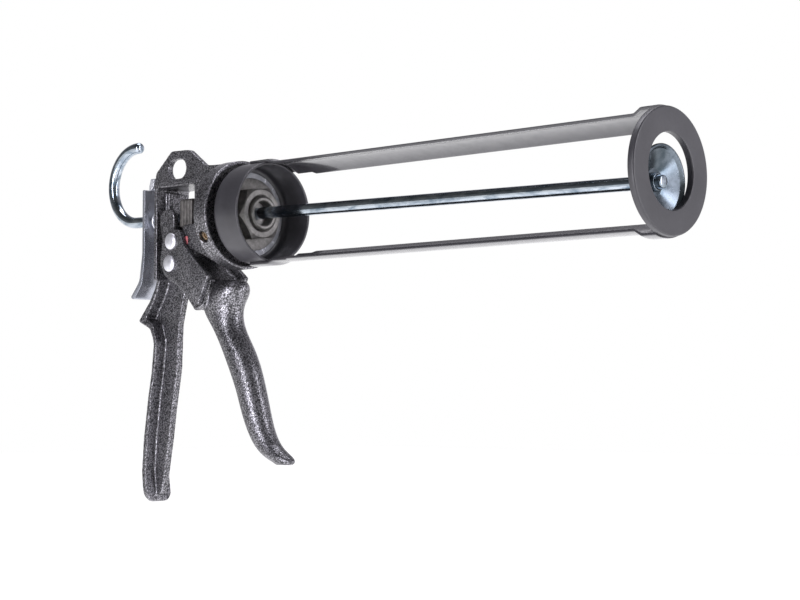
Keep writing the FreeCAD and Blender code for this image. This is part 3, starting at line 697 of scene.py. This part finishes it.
def makeSpring(name, source, look):
    flatEnd = 0.09        # share of the wire that lies flat at each end
    points = []
    count = int(look["turns"] * 28)
    for step in range(count + 1):
        part = step / count
        eased = min(max((part - flatEnd) / (1 - 2 * flatEnd), 0.0), 1.0)
        angle = math.tau * look["turns"] * part
        points.append((look["springFrom"] + (look["springTo"] - look["springFrom"]) * eased,
                       look["coil"] * math.sin(angle), look["coil"] * math.cos(angle)))
    return addPiece(name, tip(swept(points, look["wire"], 12)), brightZinc, "body",
                    (source,), 50)


def makeClutch():
    look = clutchLook
    for number in range(1, look["plates"] + 1):
        softFrom("clutch_plate_%d" % number, "drive_plate_%d" % number, plateSteel, "clutch",
                 look["edge"])
    spring = makeSpring("clutch_spring", "drive_spring", look)
    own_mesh(spring)


# thumb release: bent plate, hook clip and spring

releaseLook = {"edge": 0.55, "springFrom": -97.1, "springTo": -88.4, "coil": 5.4, "wire": 0.7,
               "turns": 3.5, "anchor": -0.0867, "keep": 0.66}


def makeRelease():
    look = releaseLook
    softFrom("thumb_release", "release_plate", releaseZinc, "release", look["edge"], 4)
    softFrom("hook_clip", "release_clip", brightZinc, "body", 0.3)
    spring = makeSpring("brake_spring", "release_spring", look)
    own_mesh(spring)


# rivets through the side plates, spacers, lock screw and stop pad

rivetLook = {"pivot": (-67.6, -12.8), "lower": (-68.8, -25.2), "outside": 15.3, "head": 4.68,
             "dome": 1.95, "shank": 3.0, "armInner": 8.2}


def domeSection(start):       # shank from a start to the outside face, then the domed head
    look = rivetLook
    corners = [(start, 0, 0), (start, look["shank"], 0.3), (look["outside"] + 0.02, look["shank"], 0),
               (look["outside"] + 0.02, look["head"], 0.15)]
    for step in range(1, 9):
        angle = math.pi / 2 * step / 9
        corners.append((look["outside"] + 0.35 + (look["dome"] - 0.35) * math.sin(angle),
                        look["head"] * math.cos(angle), 0))
    corners.append((look["outside"] + look["dome"], 0, 0))
    return corners


def makeRivets():
    look = rivetLook
    for kind, source, place in (("pivot", "pivot_rivet", look["pivot"]),
                                ("lower", None, look["lower"])):
        for side, sign in (("near", -1), ("far", 1)):
            start = 0 if kind == "pivot" else look["armInner"]
            bm = turnOnto(turned(domeSection(start), 48, 2), (0, sign, 0), (place[0], 0, place[1]))
            addPiece("%s_dome_%s" % (kind, side), bm, rivetMetal, "trigger",
                     (source or "lower_rivet_" + side,), 40)
    for side in ("near", "far"):
        softFrom("spacer_" + side, "arm_spacer_" + side, rawSteel, "trigger", 0.1)


screwLook = {"along": -27.4, "angle": 27.0, "under": 26.0, "top": 28.2, "radius": 2.9,
             "socket": 1.35, "deep": 1.0}


def makeLockScrew():
    look = screwLook
    bm = turned([(look["under"], 0, 0), (look["under"], look["radius"], 0.2),
                 (look["top"], look["radius"], 0.5), (look["top"], look["socket"], 0.15),
                 (look["top"] - look["deep"], look["socket"] - 0.2, 0.1),
                 (look["top"] - look["deep"], 0, 0)], 36)
    angle = math.radians(look["angle"])
    turnOnto(bm, (0, -math.cos(angle), -math.sin(angle)), (look["along"], 0, 0))
    addPiece("collar_screw", bm, oldBrass, "body", ("lock_screw",), 35)


makeClutch()
makeRelease()
makeRivets()
makeLockScrew()
softFrom("stop_pad", "bump_stop", softPad, "body", 0.5)
print("clutch, release, rivets, screw and pad made")


# stage, light and camera

stageLook = {"floor": -0.62, "wide": 14.0, "floorColour": (0.93, 0.93, 0.94)}
cameraLook = {"place": (0.7048, -0.6628, -0.1024), "turn": 42.69, "rise": -3.24, "lens": 80.28}


def makeStage():
    material, tree, shader = newMaterial("paleFloor", Roughness=0.75, Specular_IOR_Level=0.2,
                                         Emission_Color=(1, 1, 1, 1), Emission_Strength=0.85)
    shade = ramp(tree, noise(tree, coordinates(tree), 3.0, 2.0),
                 [(0.3, stageLook["floorColour"]), (0.7, grey(0.96))])
    tree.links.new(shade, shader.inputs["Base Color"])
    bm = bmesh.new()
    bmesh.ops.create_grid(bm, x_segments=8, y_segments=8, size=stageLook["wide"])
    mesh = bpy.data.meshes.new("floor")
    bm.to_mesh(mesh)
    bm.free()
    mesh.materials.append(material)
    floor = bpy.data.objects.new("floor", mesh)
    floor.location.z = stageLook["floor"]
    scene.collection.objects.link(floor)


def makeWorld():
    world = bpy.data.worlds.new("whiteRoom")
    scene.world = world
    world.use_nodes = True
    tree = world.node_tree
    back = tree.nodes["Background"]
    where = addNode(tree, "ShaderNodeTexCoord")
    parts = addNode(tree, "ShaderNodeSeparateXYZ")
    tree.links.new(where.outputs["Generated"], parts.inputs["Vector"])
    depth = span(tree, parts.outputs["Y"], 0.0, 1.0, -1.0, 1.0)
    walls = ramp(tree, depth, [(0.0, grey(0.16)), (0.40, grey(0.28)), (0.75, (0.95, 0.93, 1.0))])
    height = span(tree, parts.outputs["Z"], 0.0, 1.0, -1.0, 1.0)
    shade = ramp(tree, height, [(0.55, grey(1.0)), (0.80, grey(0.35)), (1.0, grey(0.25))])
    room = blendColours(tree, 1.0, walls, shade, "MULTIPLY")
    path = addNode(tree, "ShaderNodeLightPath")
    seen = blendColours(tree, path.outputs["Is Camera Ray"], room, (1.0, 1.0, 1.0))
    tree.links.new(seen, back.inputs["Color"])
    back.inputs["Strength"].default_value = 1.0


def addLight(name, place, aim, size, power, colour):
    lamp = bpy.data.lights.new(name, "AREA")
    lamp.shape = "RECTANGLE"
    lamp.size, lamp.size_y = size
    lamp.energy = power
    lamp.color = colour
    holder = bpy.data.objects.new(name, lamp)
    holder.location = place
    holder.rotation_mode = "QUATERNION"
    holder.rotation_quaternion = (Vector(aim) - Vector(place)).to_track_quat("-Z", "Y")
    scene.collection.objects.link(holder)


def makeCamera():
    look = cameraLook
    turn, rise = math.radians(look["turn"]), math.radians(look["rise"])
    back = Vector((math.sin(turn) * math.cos(rise), -math.cos(turn) * math.cos(rise),
                   math.sin(rise)))
    lens = bpy.data.cameras.new("camera")
    lens.sensor_width = 36
    lens.lens = look["lens"]
    lens.clip_start, lens.clip_end = 0.01, 60
    camera = bpy.data.objects.new("camera", lens)
    camera.location = look["place"]
    camera.rotation_mode = "QUATERNION"
    camera.rotation_quaternion = (-back).to_track_quat("-Z", "Y")
    scene.collection.objects.link(camera)
    scene.camera = camera


lightLook = {"aim": (0.06, 0, -0.03), "colour": (0.93, 0.92, 1.0), "lamps": [
    # name, place, size, watts
    ("topSoftbox", (-0.1, 0.1, 1.1), (0.9, 0.6), 9.0),
    ("frontSoftbox", (0.12, -1.20, -0.02), (0.34, 1.1), 13.0),
    ("rightStrip", (1.15, 0.35, 0.2), (0.25, 1.2), 8.0)]}

makeStage()
makeWorld()
scene.view_settings.view_transform = "Standard"
scene.view_settings.look = "None"
for name, place, size, watts in lightLook["lamps"]:
    addLight(name, place, lightLook["aim"], size, watts, lightLook["colour"])
makeCamera()
print("stage, lights and camera made")
